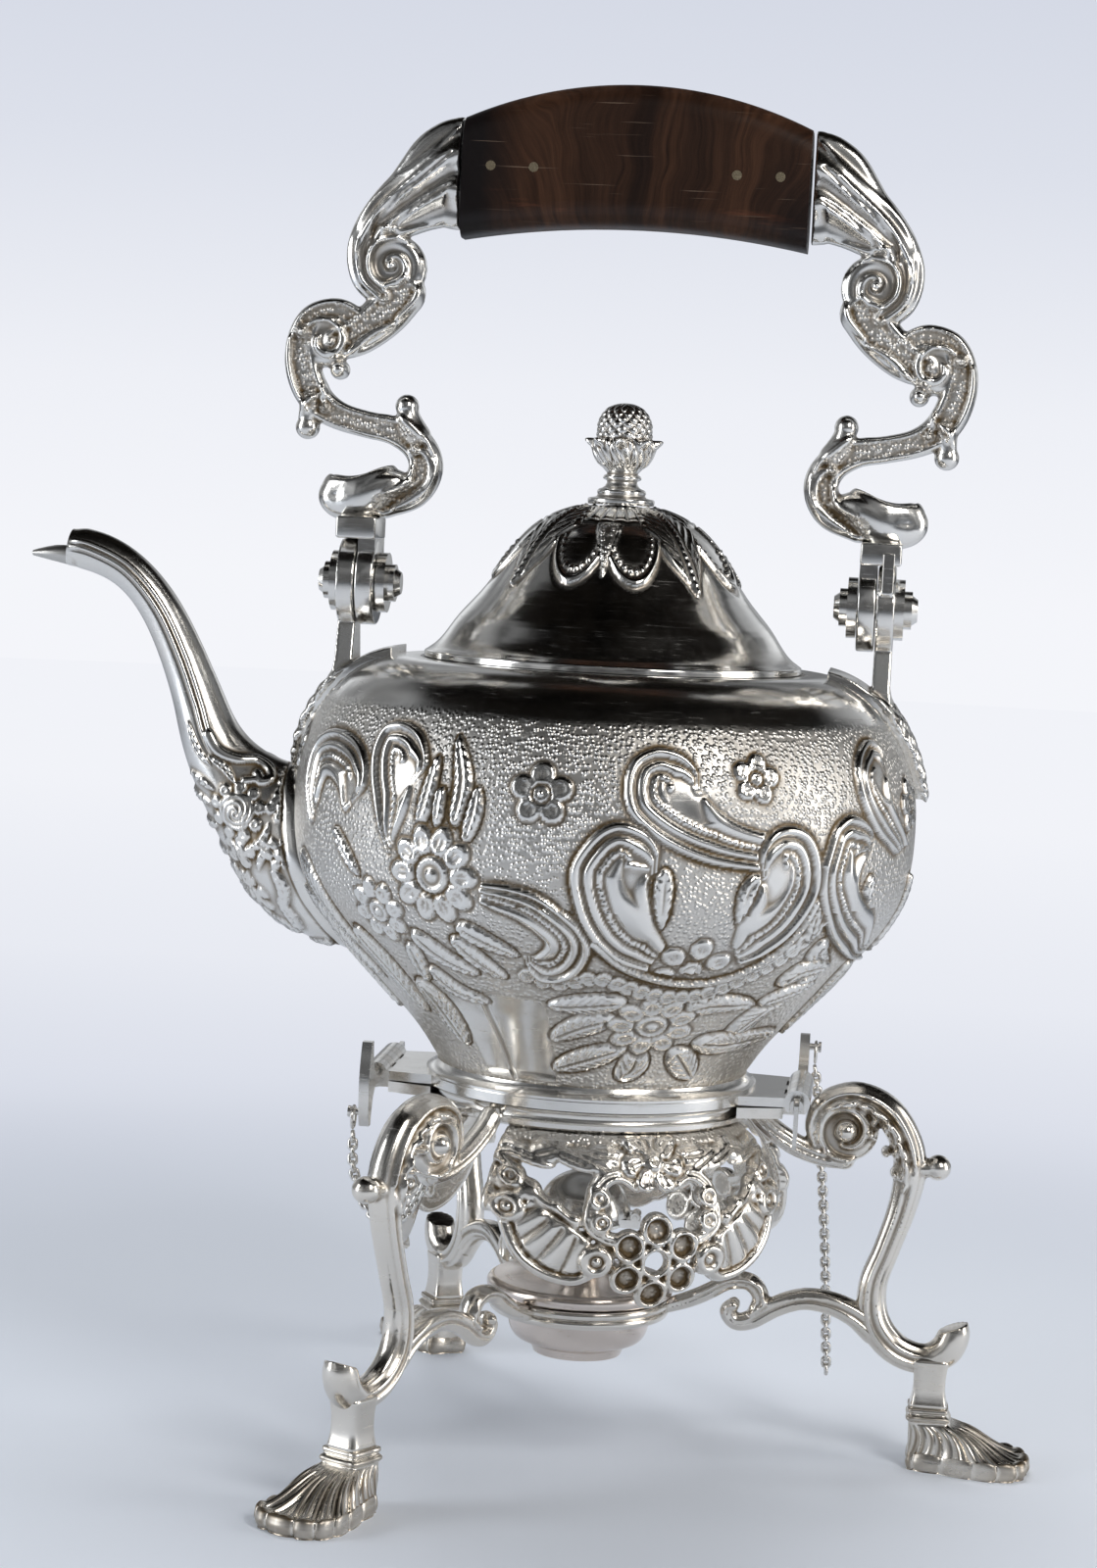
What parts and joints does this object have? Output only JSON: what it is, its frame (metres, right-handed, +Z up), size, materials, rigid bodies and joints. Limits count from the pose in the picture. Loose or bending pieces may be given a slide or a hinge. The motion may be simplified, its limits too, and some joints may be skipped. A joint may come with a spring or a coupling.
{
  "type": "spirit kettle on stand",
  "caption": "Embossed silver hot-water kettle with a swinging wooden-grip bail, pinned by two hinges to a footed, pierced stand with a spirit lamp.",
  "frame": {"origin": "centre of the overall box, on the table under the feet", "axes": "+Z is up, the spout points along -X, and +Y is the side of the lid's hinge"},
  "size_m": [0.2993, 0.2336, 0.3844],
  "materials": {
    "silver_body": "bright hand-polished silver with dark tarnish in the chasing",
    "silver_cast": "cast silver, bright on the high parts with a warm tarnish in the hollows",
    "silver_pins": "worn polished silver",
    "silver_lamp": "plain polished silver, smoked near the flame",
    "grip_wood": "dark polished hardwood, worn",
    "grip_pins": "worn",
    "wick_cotton": "charred at the tip"
  },
  "bodies": {
    "stand": {"stand_ring": "silver_cast", "rear_leg": "silver_cast", "far_leg": "silver_cast", "near_leg": "silver_cast", "rear_foot": "silver_cast", "far_foot": "silver_cast", "near_foot": "silver_cast", "rear_lamp_bracket": "silver_cast", "far_lamp_bracket": "silver_cast", "near_lamp_bracket": "silver_cast", "lamp_ring": "silver_cast", "far_apron": "silver_cast", "front_apron": "silver_cast", "near_apron": "silver_cast", "chain_anchor": "silver_pins", "chain_anchor_ring": "silver_pins", "front_chain": "silver_pins"},
    "kettle": {"kettle_body": "silver_body", "foot_moulding": "silver_body", "base_plate": "silver_body", "spout": "silver_body", "front_ear": "silver_cast", "rear_ear": "silver_cast", "front_pivot_pin": "silver_cast", "rear_pivot_pin": "silver_cast", "front_pivot_washers": "silver_cast", "rear_pivot_washers": "silver_cast", "lid_hinge_base": "silver_body", "lid_hinge_pin": "silver_body"},
    "lid": {"lid": "silver_body", "lid_bezel": "silver_body", "lid_finial": "silver_body", "finial_nut": "silver_body", "lid_hinge_leaf": "silver_body"},
    "bail": {"front_bail_arm": "silver_cast", "rear_bail_arm": "silver_cast", "bail_grip": "grip_wood", "grip_pins": "grip_pins"},
    "front_pin": {"front_hinge_pin": "silver_pins", "front_pin_stud": "silver_pins", "front_pin_ring": "silver_pins"},
    "front_toggle": {"front_toggle": "silver_pins"},
    "rear_pin": {"rear_hinge_pin": "silver_pins", "rear_pin_stud": "silver_pins", "rear_pin_ring": "silver_pins", "rear_chain": "silver_pins"},
    "rear_toggle": {"rear_toggle": "silver_pins"},
    "lamp": {"lamp_reservoir": "silver_lamp", "burner_collar": "silver_lamp", "wick_tube": "silver_lamp", "wick": "wick_cotton", "snuffer_bracket": "silver_lamp", "snuffer_hinge_pin": "silver_lamp"},
    "snuffer": {"snuffer": "silver_lamp"}
  },
  "joints": [
    {"name": "kettle_tilt", "type": "hinge", "parent": "stand", "child": "kettle", "pos_m": [-0.04085, 0, 0.1047], "axis": [0, -1, 0], "range_deg": [0, 45]},
    {"name": "lid_hinge", "type": "hinge", "parent": "kettle", "child": "lid", "pos_m": [0.01865, 0.0557, 0.2255], "axis": [-1, 0, 0], "range_deg": [0, 95]},
    {"name": "bail_swing", "type": "hinge", "parent": "kettle", "child": "bail", "pos_m": [0.01865, 0, 0.2428], "axis": [-1, 0, 0], "range_deg": [0, 90]},
    {"name": "front_pin_draw", "type": "slide", "parent": "stand", "child": "front_pin", "axis": [0, -1, 0], "range_m": [0, 0.053]},
    {"name": "front_toggle_swing", "type": "hinge", "parent": "front_pin", "child": "front_toggle", "pos_m": [-0.04085, 0.0218, 0.1047], "axis": [-1, 0, 0], "range_deg": [0, 90]},
    {"name": "rear_pin_draw", "type": "slide", "parent": "stand", "child": "rear_pin", "axis": [0, 1, 0], "range_m": [0, 0.002]},
    {"name": "rear_toggle_swing", "type": "hinge", "parent": "rear_pin", "child": "rear_toggle", "pos_m": [0.07815, -0.0218, 0.1047], "axis": [-1, 0, 0], "range_deg": [0, 90]},
    {"name": "lamp_lift", "type": "slide", "parent": "stand", "child": "lamp", "axis": [0, 0, 1], "range_m": [0, 0.018]},
    {"name": "snuffer_hinge", "type": "hinge", "parent": "lamp", "child": "snuffer", "pos_m": [0.03365, 0, 0.066], "axis": [0, 1, 0], "range_deg": [0, 160]}
  ]
}
